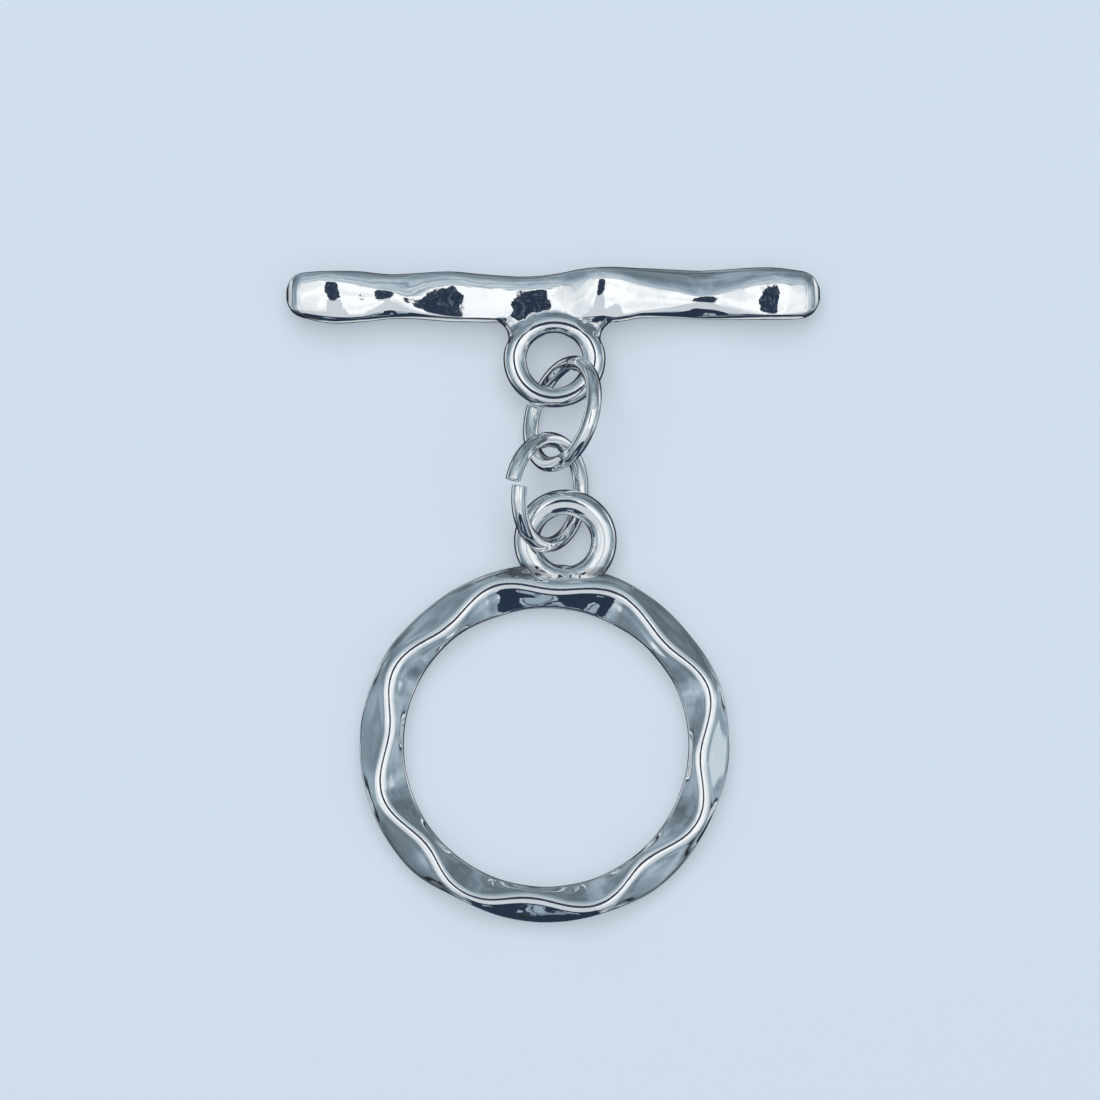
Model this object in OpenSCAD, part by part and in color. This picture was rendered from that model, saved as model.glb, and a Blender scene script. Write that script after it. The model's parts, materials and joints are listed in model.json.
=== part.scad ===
// Toggle clasp of bright cast white metal, lying on a flat surface.
// A hammered crossbar and a ring with a wavy crest each carry a soldered eye,
// and two round-wire jump rings join the eyes. Lengths in millimetres, +Z up,
// +Y from the ring towards the bar. The origin is under the middle of the whole.

/* [Bar] */
// Length of the crossbar from end to end
bar_length = 34.9; // [30:0.1:44]
// Width of the crossbar at its widest swelling
bar_width = 3.6; // [3.2:0.05:4.2]
// Height of the crossbar at its highest swelling
bar_height = 3.2; // [3:0.05:3.8]
// Length over which each end of the crossbar rounds off
bar_end_round = 1.3; // [0.6:0.05:2]

/* [Ring] */
// Outer diameter of the toggle ring
ring_width = 24; // [22:0.1:28]
// Diameter of the opening that the crossbar passes through
ring_opening = 18.4; // [16:0.1:19]
// Height of the wavy crest above the flat back
crest_height = 2.4; // [2.3:0.05:3]
// Width of the rounded bead along the crest
crest_bead = 0.66; // [0.5:0.02:0.8]
// Height of the rim in the middle of a scoop
rim_low = 1.35; // [1:0.05:1.5]
// Height of the rim where two scoops meet
rim_high = 1.85; // [1.6:0.05:1.9]
// Bevel along both edges of the flat back
back_bevel = 0.15; // [0.05:0.01:0.25]

/* [Eyes] */
// Hole of the eye on the crossbar
bar_eye_hole = 3.66; // [3.4:0.02:4]
// Wire of the eye on the crossbar
bar_eye_wire = 1.5; // [1.3:0.02:1.6]
// How far the eye's outer edge reaches into the crossbar
bar_eye_sink = 0.84; // [0.6:0.02:1.2]
// How far the eye stands to the right of the crossbar's middle
bar_eye_offset = 0.08; // [-0.4:0.02:0.4]
// Hole of the eye on the toggle ring
ring_eye_hole = 3.34; // [3.2:0.02:3.8]
// Wire of the eye on the toggle ring
ring_eye_wire = 1.68; // [1.4:0.02:1.7]
// How far the eye's outer edge reaches into the toggle ring
ring_eye_sink = 1.82; // [1.5:0.02:2.1]
// Rise of the toggle ring's eye away from the ring, in degrees
ring_eye_rise = 10; // [8:0.5:12]
// Place of the eye round the toggle ring, in degrees from +X
ring_eye_turn = 84.6; // [80:0.2:90]

/* [Jump rings] */
// Diameter of the jump rings' wire
jump_wire = 1; // [0.8:0.05:1.1]
// Inner diameter of the jump rings
jump_hole = 5.8; // [5.6:0.05:6.4]
// Gap between the cut ends of the lower jump ring
jump_gap = 0.33; // [0.1:0.01:0.6]
// How far the cut ends of the lower jump ring are sprung sideways past each other
jump_offset = 0.36; // [0:0.02:0.4]
// Lean of the upper jump ring from lying flat, in degrees
upper_lean = 56; // [54:0.5:58]
// Lean of the lower jump ring from lying flat, in degrees
lower_lean = 52.5; // [51:0.5:55]

/* [Clearances] */
// Clearance between a jump ring and the surface it rests on
rest_gap = 0.03; // [0.01:0.01:0.1]
// Clearance below the crossbar's eye, over the height of a jump ring's wire lying flat
under_eye_gap = 0.4; // [0.35:0.01:0.6]
// The same below the far side of the toggle ring's eye, counted without the eye's rise
under_ring_eye_gap = 0.31; // [0.25:0.01:0.5]

/* [Hidden] */

round_steps = 96;
ring_steps = 7;        // sections of the toggle ring from one row of ring_waves to the next
bar_steps = 46;        // sections of the crossbar between its rounded ends
end_steps = 6;         // sections of the crossbar in each rounded end
bar_sides = 24;        // points round the crossbar
end_curve = 2.4;       // power of the crossbar's end rounding, 2 for a circle
scoop_curve = 1.35;    // power of the scoops' hollow, 1 for a flat slope
shelf_curve = 0.45;    // the same under the ring's eye, where the metal rises into a shelf
shelf_reach = 13;      // degrees round the ring over which the shelf fades
bead_drop = 0.36;      // height of the crest's bead as a share of its width
metal = [0.80, 0.82, 0.85];

// The crest swings out to a peak and back in to a valley eight times.
// Columns: turn in degrees, crest place as a share of the band from opening to rim,
// rim as a share of half ring_width, opening as a share of half ring_opening
ring_waves = [
    [19.0, 0.712, 0.990, 1.000], [41.0, 0.368, 0.975, 0.986],
    [64.0, 0.663, 0.975, 0.968], [87.0, 0.386, 0.975, 0.964],
    [108.0, 0.677, 0.971, 0.964], [130.0, 0.305, 0.975, 0.989],
    [154.0, 0.660, 0.994, 1.000], [174.5, 0.314, 1.007, 1.003],
    [198.0, 0.670, 1.004, 1.003], [220.0, 0.312, 0.997, 1.003],
    [243.0, 0.800, 0.955, 1.003], [264.5, 0.344, 0.959, 1.000],
    [288.0, 0.750, 0.960, 1.000], [309.5, 0.261, 0.980, 1.000],
    [333.5, 0.735, 0.975, 1.000], [355.5, 0.286, 0.988, 1.003]];

// The crossbar's swellings and waists, from its left end to its right.
// Columns: place as a share of half bar_length, middle as a share of bar_width to the +Y side,
// width as a share of bar_width, top as a share of bar_height, underside as a share of bar_height,
// squareness of the section, 2 for an ellipse
bar_waves = [
    [-1.000, 0.035, 0.800, 0.80, 0.02, 2.5], [-0.944, 0.035, 0.805, 0.89, 0.02, 2.6],
    [-0.832, -0.007, 0.926, 0.99, 0.00, 2.9], [-0.720, 0.002, 0.897, 0.95, 0.00, 2.7],
    [-0.608, 0.003, 0.786, 0.90, 0.03, 2.2], [-0.534, 0.005, 0.802, 0.91, 0.03, 2.4],
    [-0.385, -0.006, 0.889, 0.92, 0.00, 2.9], [-0.254, -0.039, 0.850, 0.86, 0.01, 2.8],
    [-0.105, -0.065, 0.827, 0.78, 0.02, 2.6], [-0.012, -0.052, 0.860, 0.78, 0.02, 2.6],
    [0.100, -0.010, 0.951, 0.92, 0.01, 2.7], [0.193, -0.005, 1.000, 1.00, 0.00, 2.8],
    [0.267, 0.015, 0.952, 0.95, 0.00, 2.8], [0.323, 0.035, 0.889, 0.90, 0.01, 2.6],
    [0.472, 0.022, 0.872, 0.79, 0.03, 2.3], [0.547, 0.006, 0.879, 0.76, 0.03, 2.2],
    [0.659, 0.007, 0.906, 0.80, 0.01, 2.5], [0.808, 0.010, 0.937, 0.91, 0.00, 2.9],
    [0.901, -0.010, 0.883, 0.87, 0.00, 2.8], [1.000, -0.020, 0.800, 0.75, 0.02, 2.5]];

// The chain of eyes and jump rings between the ring and the bar, seen from above.
// Each link's middle lies from the one before it along a turn in degrees, at a share
// of the two holes' half widths. Columns: turn, share
ring_eye_to_lower = [110.16, 0.702];
lower_to_upper = [79.81, 0.892];
upper_to_bar_eye = [97.81, 0.796];
upper_turn = 166.6;     // the way each jump ring's axis leans
lower_turn = -9.4;
bar_slope = 0.43;       // the crossbar lies turned by this much, in degrees
bar_edge_share = 0.482; // the crossbar's edge at the eye, as a share of bar_width from its middle
bar_top_share = 0.508;  // the crossbar's furthest edge, as a share of bar_width from its middle
rim_at_eye_share = 0.975;
rim_at_foot_share = 0.959;

function mix(a, b, t) = a + (b - a) * t;
function ease(t) = (1 - cos(180 * t)) / 2;
function along(step, reach) = step[1] * reach * [cos(step[0]), sin(step[0])];

jump_r = (jump_hole + jump_wire) / 2;
bar_eye_r = (bar_eye_hole + bar_eye_wire) / 2;
ring_eye_r = (ring_eye_hole + ring_eye_wire) / 2;
ring_r = ring_width / 2;
opening_r = ring_opening / 2;

bar_eye_z = rest_gap + jump_wire + under_eye_gap + bar_eye_wire / 2;
ring_eye_z = rest_gap + jump_wire + under_ring_eye_gap + ring_eye_wire / 2
    - ring_eye_r * sin(ring_eye_rise);
upper_z = rest_gap + jump_wire / 2 + jump_r * sin(upper_lean);
lower_z = rest_gap + jump_wire / 2 + jump_r * sin(lower_lean);

// Places seen from above, counted from the middle of the toggle ring
ring_eye_reach = rim_at_eye_share * ring_r - ring_eye_sink + ring_eye_r + ring_eye_wire / 2;
ring_eye_at = ring_eye_reach * [cos(ring_eye_turn), sin(ring_eye_turn)];
lower_at = ring_eye_at + along(ring_eye_to_lower, (ring_eye_hole + jump_hole) / 2);
upper_at = lower_at + along(lower_to_upper, jump_hole);
bar_eye_at = upper_at + along(upper_to_bar_eye, (bar_eye_hole + jump_hole) / 2);
bar_at = bar_eye_at
    + [-bar_eye_offset, bar_eye_r + bar_eye_wire / 2 - bar_eye_sink + bar_edge_share * bar_width];
middle_at = [bar_at[0], (bar_at[1] + bar_top_share * bar_width - rim_at_foot_share * ring_r) / 2];

// Triangles between neighbouring rows of a grid of points, and over its two ends
function quad(a, b, c, d) = [[a, b, c], [a, c, d]];
function skin(rows, cols, closed) = [
    for (i = [0:rows - (closed ? 1 : 2)]) for (j = [0:cols - 1])
        let (k = (i + 1) % rows, l = (j + 1) % cols)
        each quad(i * cols + j, k * cols + j, k * cols + l, i * cols + l)];
function end_caps(rows, cols) = [
    [for (j = [0:cols - 1]) j],
    [for (j = [cols - 1:-1:0]) (rows - 1) * cols + j]];

// One section across the toggle ring at a share t of the way from row i of ring_waves to the
// next, as points [radius, height] from the back of the opening over the crest to the back of
// the rim. The first row is a peak, so on even rows t runs from a peak to a valley.
function wave_turn(i) = ring_waves[i % 16][0] + 360 * floor(i / 16);
function wave_mix(i, col, t) = mix(ring_waves[i % 16][col], ring_waves[(i + 1) % 16][col], ease(t));
function eye_metal(turn) = exp(-pow((turn - ring_eye_turn) / shelf_reach, 2));
function ring_section(i, t) =
    let (
        turn = mix(wave_turn(i), wave_turn(i + 1), t),
        rim = ring_r * wave_mix(i, 2, t),
        hole = opening_r * wave_mix(i, 3, t),
        crest = mix(hole, rim, wave_mix(i, 1, t)),
        to_valley = i % 2 == 0 ? t : 1 - t,
        rim_z = mix(rim_high, rim_low, ease(to_valley)),
        hole_z = mix(rim_low, rim_high, ease(to_valley)),
        bead = min(crest_bead / 2, 0.8 * (rim - crest), 0.8 * (crest - hole)),
        shoulder_z = crest_height - bead_drop * crest_bead,
        fill = mix(scoop_curve, shelf_curve, eye_metal(turn)))
    [
        [hole + back_bevel, 0],
        [hole, back_bevel],
        [hole, hole_z],
        for (q = [0.3, 0.65]) [mix(hole, crest - bead, q), mix(hole_z, shoulder_z, pow(q, scoop_curve))],
        [crest - bead, shoulder_z],
        [crest - 0.6 * bead, mix(shoulder_z, crest_height, 0.7)],
        [crest, crest_height],
        [crest + 0.6 * bead, mix(shoulder_z, crest_height, 0.7)],
        [crest + bead, shoulder_z],
        for (q = [0.65, 0.3]) [mix(rim, crest + bead, q), mix(rim_z, shoulder_z, pow(q, fill))],
        [rim, rim_z],
        [rim, back_bevel],
        [rim - back_bevel, 0]];

module ring_body() {
    sections = [for (i = [0:15]) for (s = [0:ring_steps - 1])
        let (t = s / ring_steps, turn = mix(wave_turn(i), wave_turn(i + 1), t))
        [for (p = ring_section(i, t)) [p[0] * cos(turn), p[0] * sin(turn), p[1]]]];
    points = [for (s = sections) each s];
    polyhedron(points, skin(len(sections), len(sections[0]), true), convexity = 8);
}

// The crossbar's value of one column at a place given as a share of half its length,
// on a smooth curve through the rows of bar_waves
bar_last = len(bar_waves) - 1;
function bar_row(x, i = 0) = i >= bar_last - 1 || bar_waves[i + 1][0] >= x ? i : bar_row(x, i + 1);
function bar_slant(i, col) =
    let (a = bar_waves[max(0, i - 1)], b = bar_waves[min(bar_last, i + 1)])
    (b[col] - a[col]) / (b[0] - a[0]);
function bar_value(x, col) =
    let (
        i = bar_row(x),
        gap = bar_waves[i + 1][0] - bar_waves[i][0],
        t = (x - bar_waves[i][0]) / gap,
        u = 1 - t)
    bar_waves[i][col] * (1 + 2 * t) * u * u + bar_waves[i + 1][col] * t * t * (3 - 2 * t)
        + gap * t * u * (bar_slant(i, col) * u - bar_slant(i + 1, col) * t);
function power(v, n) = sign(v) * pow(abs(v), 2 / n);
// How much of the full section is left at a depth d from the end of the crossbar
function end_share(d) = pow(1 - pow(1 - d / bar_end_round, end_curve), 1 / end_curve);
function bar_section(place, left) =
    let (
        x = place / (bar_length / 2),
        mid = bar_width * bar_value(x, 1),
        top = bar_height * bar_value(x, 3),
        base = bar_height * max(0, bar_value(x, 4)),
        half_w = bar_width * bar_value(x, 2) / 2 * left,
        half_h = (top - base) / 2 * left,
        n = bar_value(x, 5))
    [for (j = [0:bar_sides - 1]) let (a = 360 * j / bar_sides)
        [place, mid + half_w * power(cos(a), n), (top + base) / 2 + half_h * power(sin(a), n)]];

module bar_body() {
    body = bar_length / 2 - bar_end_round;
    depths = [for (s = [1:end_steps]) bar_end_round * (1 - cos(90 * s / end_steps))];
    sections = concat(
        [for (d = depths) bar_section(d - bar_length / 2, end_share(d))],
        [for (s = [1:bar_steps - 1]) bar_section(mix(-body, body, s / bar_steps), 1)],
        [for (s = [end_steps - 1:-1:0]) bar_section(bar_length / 2 - depths[s], end_share(depths[s]))]);
    points = [for (s = sections) each s];
    rows = len(sections);
    polyhedron(points, concat(skin(rows, bar_sides, false), end_caps(rows, bar_sides)), convexity = 4);
}

module wire_ring(radius, wire, sweep = 360) {
    rotate_extrude(angle = sweep, $fn = round_steps)
        translate([radius, 0]) circle(d = wire, $fn = 48);
}

// Half of a jump ring whose cut end is pushed sideways by turning it on the far side's tangent
module half_jump_ring() {
    cut = asin(jump_gap / 2 / jump_r);
    push = asin(jump_offset / 2 / (2 * jump_r));
    translate([jump_r, 0, 0]) rotate([0, -push, 0]) translate([-jump_r, 0, 0])
        wire_ring(jump_r, jump_wire, 180 - cut);
}

module toggle_bar() {
    color(metal) union() {
        translate([bar_at[0] - middle_at[0], bar_at[1] - middle_at[1], 0])
            rotate([0, 0, bar_slope]) bar_body();
        translate([bar_eye_at[0] - middle_at[0], bar_eye_at[1] - middle_at[1], bar_eye_z])
            wire_ring(bar_eye_r, bar_eye_wire);
    }
}

module upper_jump_ring() {
    color(metal)
        translate([upper_at[0] - middle_at[0], upper_at[1] - middle_at[1], upper_z])
            rotate([0, upper_lean, upper_turn]) wire_ring(jump_r, jump_wire);
}

module lower_jump_ring() {
    color(metal)
        translate([lower_at[0] - middle_at[0], lower_at[1] - middle_at[1], lower_z])
            rotate([0, lower_lean, lower_turn]) {
                half_jump_ring();
                rotate([180, 0, 0]) half_jump_ring();
            }
}

module toggle_ring() {
    color(metal) union() {
        translate([-middle_at[0], -middle_at[1], 0]) ring_body();
        translate([ring_eye_at[0] - middle_at[0], ring_eye_at[1] - middle_at[1], ring_eye_z])
            rotate([ring_eye_rise, 0, 0]) wire_ring(ring_eye_r, ring_eye_wire);
    }
}

toggle_bar();
upper_jump_ring();
lower_jump_ring();
toggle_ring();
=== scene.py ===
import json
from math import atan2, cos, degrees, exp, pi, radians, sin

import bmesh
import bpy
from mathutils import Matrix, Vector

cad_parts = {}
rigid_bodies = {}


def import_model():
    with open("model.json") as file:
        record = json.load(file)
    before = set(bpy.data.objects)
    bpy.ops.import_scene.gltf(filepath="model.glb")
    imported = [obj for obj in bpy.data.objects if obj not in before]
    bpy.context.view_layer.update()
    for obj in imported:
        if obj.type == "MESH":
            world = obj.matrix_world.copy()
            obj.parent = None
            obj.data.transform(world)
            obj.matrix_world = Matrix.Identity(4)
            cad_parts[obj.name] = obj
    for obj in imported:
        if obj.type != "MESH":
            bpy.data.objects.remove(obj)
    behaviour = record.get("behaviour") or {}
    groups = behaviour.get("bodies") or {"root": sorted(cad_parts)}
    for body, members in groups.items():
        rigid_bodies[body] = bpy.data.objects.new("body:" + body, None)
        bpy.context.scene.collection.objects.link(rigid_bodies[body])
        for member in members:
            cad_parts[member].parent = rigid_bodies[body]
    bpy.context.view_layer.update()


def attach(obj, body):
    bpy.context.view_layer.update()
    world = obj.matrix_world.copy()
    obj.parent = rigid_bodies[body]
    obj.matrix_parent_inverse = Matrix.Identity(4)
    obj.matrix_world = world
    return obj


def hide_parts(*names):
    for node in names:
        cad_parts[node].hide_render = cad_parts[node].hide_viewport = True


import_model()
mm = 0.001

# Camera
# The photograph's frame is 1100 pixels wide and its camera looks down from slightly south.
view = {
    "target": (-0.212, 2.858, 1.0),
    "distance": 300,
    "elevation": 85,
    "frameWidth": 71.5,
}


def addCamera():
    tilt = radians(view["elevation"])
    away = Vector((0, -cos(tilt), sin(tilt)))
    camData = bpy.data.cameras.new("photoCamera")
    camData.lens = camData.sensor_width * view["distance"] / view["frameWidth"]
    camData.clip_start = 5 * mm
    camera = bpy.data.objects.new("photoCamera", camData)
    camera.location = (Vector(view["target"]) + view["distance"] * away) * mm
    camera.rotation_euler = (radians(90) - tilt, 0, 0)
    bpy.context.collection.objects.link(camera)
    bpy.context.scene.camera = camera


addCamera()
print("camera placed")


# Shaping by hand: everything is deselected, a primitive is added, and its points are pulled
shaping = {
    "backHeight": 0.04,      # what lies lower than this is the flat back
    "weldDistance": 0.004,   # points nearer than this become one after soldering
    "pull": 0.5,             # how far each round of smoothing draws the skin together
    "hollowSeam": 24,        # degrees by which a seam bends inwards before it is softened
    "smoothShade": 38,       # degrees up to which an edge is shaded smooth
    "eyeSteps": (60, 16),    # points round an eye and round its wire, before its skin is smoothed
    "eyeSkin": 2,
    "blobSteps": (28, 18),   # points round a blob of solder and from pole to pole
}


def freshStart():
    if bpy.context.mode != "OBJECT":
        bpy.ops.object.mode_set(mode="OBJECT")
    bpy.ops.object.select_all(action="DESELECT")


def beginShaping(name):
    piece = bpy.context.object
    piece.name = name
    piece.data.name = name
    bpy.ops.object.mode_set(mode="EDIT")
    bpy.ops.mesh.select_mode(type="VERT")
    return piece


def selectPoints(piece, chosen):
    bpy.ops.mesh.select_all(action="DESELECT")
    cage = bmesh.from_edit_mesh(piece.data)
    cage.verts.ensure_lookup_table()
    for number in chosen:
        cage.verts[number].select_set(True)
    cage.select_flush(True)


def pointsWhere(piece, test):
    cage = bmesh.from_edit_mesh(piece.data)
    return [vert.index for vert in cage.verts if test(vert.co / mm)]


def pullPoint(piece, number, target):
    cage = bmesh.from_edit_mesh(piece.data)
    cage.verts.ensure_lookup_table()
    bpy.ops.mesh.select_all(action="DESELECT")
    vert = cage.verts[number]
    vert.select_set(True)
    bpy.ops.transform.translate(value=Vector(target) * mm - vert.co)


def smoothSkin(piece, levels):
    bpy.ops.object.mode_set(mode="OBJECT")
    bpy.ops.object.modifier_add(type="SUBSURF")
    skin = piece.modifiers[-1]
    skin.levels = skin.render_levels = levels
    bpy.ops.object.modifier_apply(modifier=skin.name)


def hammerMarks(piece, size, depth):
    # soft unevenness of the cast surface
    cloud = bpy.data.textures.new(piece.name + "Marks", "CLOUDS")
    cloud.noise_scale = size * mm
    cloud.noise_depth = 1
    bpy.ops.object.modifier_add(type="DISPLACE")
    marks = piece.modifiers[-1]
    marks.texture = cloud
    marks.texture_coords = "LOCAL"
    marks.mid_level = 0.5
    marks.strength = depth * mm
    bpy.ops.object.modifier_apply(modifier=marks.name)


def flattenBack(piece):
    # the piece lies flat on its back
    bpy.ops.object.mode_set(mode="EDIT")
    bpy.ops.mesh.select_mode(type="VERT")
    selectPoints(piece, pointsWhere(piece, lambda co: co.z < shaping["backHeight"]))
    bpy.ops.transform.resize(value=(1, 1, 0), center_override=(0, 0, 0))
    bpy.ops.object.mode_set(mode="OBJECT")


def layPiece(piece, place, turns=()):
    # turns are given as (axis, degrees), each about the world's axes
    freshStart()
    bpy.context.view_layer.objects.active = piece
    piece.select_set(True)
    for axis, angle in turns:
        piece.rotation_euler.rotate_axis(axis, radians(angle))
    piece.location = Vector(place) * mm
    bpy.ops.object.transform_apply(location=True, rotation=True, scale=True)


def solderOn(piece, part):
    # joins the part to its casting as one body
    freshStart()
    bpy.context.view_layer.objects.active = piece
    piece.select_set(True)
    bpy.ops.object.modifier_add(type="BOOLEAN")
    joint = piece.modifiers[-1]
    joint.operation = "UNION"
    joint.solver = "EXACT"
    joint.object = part
    bpy.ops.object.modifier_apply(modifier=joint.name)
    bpy.data.objects.remove(part)
    bpy.ops.object.mode_set(mode="EDIT")
    bpy.ops.mesh.select_all(action="SELECT")
    bpy.ops.mesh.remove_doubles(threshold=shaping["weldDistance"] * mm)
    bpy.ops.object.mode_set(mode="OBJECT")


def flowSolder(piece, place, reach, rounds):
    # the skin within reach of the place is drawn together like solder in a corner
    bpy.ops.object.mode_set(mode="EDIT")
    bpy.ops.mesh.select_mode(type="VERT")
    bpy.ops.mesh.select_all(action="DESELECT")
    for vert in bmesh.from_edit_mesh(piece.data).verts:
        vert.select_set((vert.co / mm - Vector(place)).length < reach)
    bpy.ops.mesh.vertices_smooth(factor=shaping["pull"], repeat=rounds)
    bpy.ops.object.mode_set(mode="OBJECT")


def softenSeam(piece, place, reach, spread, rounds):
    # the hollow seams within reach of the place lose their sharp line
    bpy.ops.object.mode_set(mode="EDIT")
    bpy.ops.mesh.select_mode(type="EDGE")
    bpy.ops.mesh.select_all(action="DESELECT")
    cage = bmesh.from_edit_mesh(piece.data)
    hollowSeam = -radians(shaping["hollowSeam"])
    for edge in cage.edges:
        middle = (edge.verts[0].co + edge.verts[1].co) / 2 / mm
        hollow = len(edge.link_faces) == 2 and edge.calc_face_angle_signed(0) < hollowSeam
        if hollow and (middle - Vector(place)).length < reach:
            edge.select_set(True)
    bpy.ops.mesh.select_mode(type="VERT")
    for step in range(spread):
        bpy.ops.mesh.select_more()
    bpy.ops.mesh.vertices_smooth(factor=shaping["pull"], repeat=rounds)
    bpy.ops.object.mode_set(mode="OBJECT")


def solderBlob(name, place, size, turn=0):
    freshStart()
    around, upwards = shaping["blobSteps"]
    bpy.ops.mesh.primitive_uv_sphere_add(segments=around, ring_count=upwards, radius=0.5 * mm)
    blob = beginShaping(name)
    bpy.ops.transform.resize(value=size, center_override=(0, 0, 0))
    bpy.ops.object.mode_set(mode="OBJECT")
    layPiece(blob, place, [("Z", turn)])
    return blob


def finishPiece(piece, node, metal):
    freshStart()
    bpy.context.view_layer.objects.active = piece
    piece.select_set(True)
    bpy.ops.object.shade_smooth_by_angle(angle=radians(shaping["smoothShade"]))
    piece.data.materials.clear()
    piece.data.materials.append(metal)
    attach(piece, "root")
    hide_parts(node)
    print(piece.name, "done,", len(piece.data.polygons), "faces")


# Metals
metalWork = {
    # noise values between which one shade passes into the other, and the gloss into the haze
    "tint": (0.35, 0.65), "tintDetail": 3,
    "haze": (0.35, 0.75), "hazeDetail": 5,
    "rippleDetail": 2,
    # an eye is softer from this far outside its reach to this far inside, in millimetres
    "eyeOutside": 0.35, "eyeInside": 0.15,
    "wornFade": 0.2,
    # the solder's folds, and the share of its ellipsoid where they are deepest
    "foldSize": 0.8, "foldDepth": 0.16, "foldDetail": 1,
    "solderCore": 0.6,
}


def brightMetal(name, look):
    metal = bpy.data.materials.new(name)
    metal.use_nodes = True
    nodes, links = metal.node_tree.nodes, metal.node_tree.links
    shader = nodes["Principled BSDF"]
    shader.inputs["Metallic"].default_value = 1.0
    place = nodes.new("ShaderNodeTexCoord").outputs["Object"]

    def noise(size, detail):
        node = nodes.new("ShaderNodeTexNoise")
        node.inputs["Scale"].default_value = 1000 / size
        node.inputs["Detail"].default_value = detail
        links.new(place, node.inputs["Vector"])
        return node.outputs["Fac"]

    def passing(value, start, end, low=0.0, high=1.0, kind="SMOOTHSTEP"):
        # goes from low to high while the value goes from start to end
        node = nodes.new("ShaderNodeMapRange")
        node.interpolation_type = kind
        node.inputs["From Min"].default_value = start
        node.inputs["From Max"].default_value = end
        node.inputs["To Min"].default_value = low
        node.inputs["To Max"].default_value = high
        links.new(value, node.inputs["Value"])
        return node.outputs["Result"]

    def measure(kind, first, second=None):
        # the second is a place or size in millimetres
        node = nodes.new("ShaderNodeVectorMath")
        node.operation = kind
        links.new(first, node.inputs[0])
        if second:
            node.inputs[1].default_value = Vector(second) * mm
        return node.outputs

    def atLeast(least, value):
        node = nodes.new("ShaderNodeMath")
        node.operation = "MAXIMUM"
        links.new(least, node.inputs[0])
        links.new(value, node.inputs[1])
        return node.outputs[0]

    shades = nodes.new("ShaderNodeValToRGB")
    for element, position, shade in zip(shades.color_ramp.elements, metalWork["tint"], ("dark", "light")):
        element.position = position
        element.color = (*look[shade], 1)
    links.new(noise(look["tintSize"], metalWork["tintDetail"]), shades.inputs["Fac"])
    color = shades.outputs["Color"]

    haze = noise(look["hazeSize"], metalWork["hazeDetail"])
    roughness = passing(haze, *metalWork["haze"], *look["roughness"], kind="LINEAR")
    if "eye" in look:
        # the soldered eye is less bright than the casting
        away = measure("DISTANCE", place, look["eye"])["Value"]
        start = (look["eyeReach"] + metalWork["eyeOutside"]) * mm
        end = (look["eyeReach"] - metalWork["eyeInside"]) * mm
        roughness = atLeast(passing(away, start, end, 0.0, look["eyeSoftness"]), roughness)
    if "wornAbove" in look:
        # the crest is rubbed by wear
        height = nodes.new("ShaderNodeSeparateXYZ")
        links.new(place, height.inputs["Vector"])
        start = look["wornAbove"] * mm
        end = (look["wornAbove"] + metalWork["wornFade"]) * mm
        roughness = atLeast(passing(height.outputs["Z"], start, end, 0.0, look["wornSoftness"]), roughness)
    links.new(roughness, shader.inputs["Roughness"])

    bump = nodes.new("ShaderNodeBump")
    bump.inputs["Strength"].default_value = 1.0
    bump.inputs["Distance"].default_value = look["rippleDepth"] * mm
    links.new(noise(look["rippleSize"], metalWork["rippleDetail"]), bump.inputs["Height"])
    normal = bump.outputs["Normal"]
    for middle, spread, stain in look.get("solder", []):
        # the solder beside the eye is crumpled and stained, within an ellipsoid
        offset = measure("SUBTRACT", place, middle)[0]
        length = measure("LENGTH", measure("DIVIDE", offset, spread)[0])["Value"]
        within = passing(length, 1.0, metalWork["solderCore"])
        crumple = nodes.new("ShaderNodeBump")
        crumple.inputs["Distance"].default_value = metalWork["foldDepth"] * mm
        links.new(within, crumple.inputs["Strength"])
        links.new(noise(metalWork["foldSize"], metalWork["foldDetail"]), crumple.inputs["Height"])
        links.new(normal, crumple.inputs["Normal"])
        normal = crumple.outputs["Normal"]
        stained = nodes.new("ShaderNodeVectorMath")
        stained.operation = "SCALE"
        links.new(color, stained.inputs[0])
        links.new(passing(within, 0.0, 1.0, 1.0, stain, "LINEAR"), stained.inputs["Scale"])
        color = stained.outputs[0]
    links.new(color, shader.inputs["Base Color"])
    links.new(normal, shader.inputs["Normal"])
    return metal


# The solder's rows are middle and half size in millimetres, and how much of the colour is left.
barPlating = brightMetal("barPlating", {
    "dark": (0.84, 0.86, 0.88), "light": (0.91, 0.925, 0.94), "tintSize": 2.5,
    "roughness": (0.02, 0.05), "hazeSize": 0.8,
    "rippleSize": 0.7, "rippleDepth": 0.006,
    "eye": (0.08, 15.2295, 2.18), "eyeReach": 3.3, "eyeSoftness": 0.07,
    "solder": [((-2.9, 17.3, 2.0), (0.9, 0.9, 1.0), 0.9), ((2.9, 17.5, 2.0), (0.9, 0.7, 1.0), 0.9)],
})
ringPlating = brightMetal("ringPlating", {
    "dark": (0.84, 0.86, 0.88), "light": (0.91, 0.925, 0.94), "tintSize": 2.5,
    "roughness": (0.02, 0.06), "hazeSize": 0.8,
    "rippleSize": 0.7, "rippleDepth": 0.006,
    "eye": (0.782, 3.3958, 1.7441), "eyeReach": 3.3, "eyeSoftness": 0.06,
    "solder": [((-1.9, 1.40, 1.9), (1.8, 0.60, 0.9), 0.40), ((0.6, 1.10, 1.9), (2.4, 0.32, 0.9), 0.75),
               ((2.9, 1.35, 1.9), (1.3, 0.45, 0.9), 0.6)],
    "wornAbove": 2.2, "wornSoftness": 0.08,
})
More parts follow.
